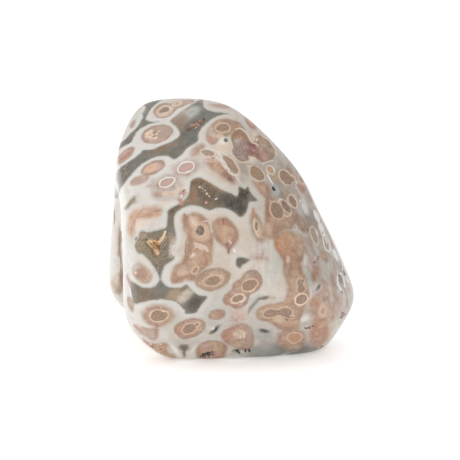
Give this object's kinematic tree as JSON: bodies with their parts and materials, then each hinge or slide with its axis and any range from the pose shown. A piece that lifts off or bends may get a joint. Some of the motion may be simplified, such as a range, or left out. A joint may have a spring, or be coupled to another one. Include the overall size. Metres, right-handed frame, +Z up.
{
  "type": "ocean jasper tumbled stone",
  "caption": "Palm-sized tumbled and polished jasper pebble with worn facets, a side groove, small crystal pockets and a flat foot it stands on.",
  "frame": {"origin": "on the plane of the flat foot, under the middle of the stone's width and depth", "axes": "+Z up from the foot, +X to the right and -Y towards the viewer, as the face with the large orbs is seen"},
  "size_m": [0.047, 0.0398, 0.048],
  "materials": {
    "polished_jasper": "polished orbicular jasper: pink, tan and cream orbs with white halos in grey-olive translucent chalcedony"
  },
  "bodies": {
    "root": {"stone": "polished_jasper"}
  },
  "joints": []
}
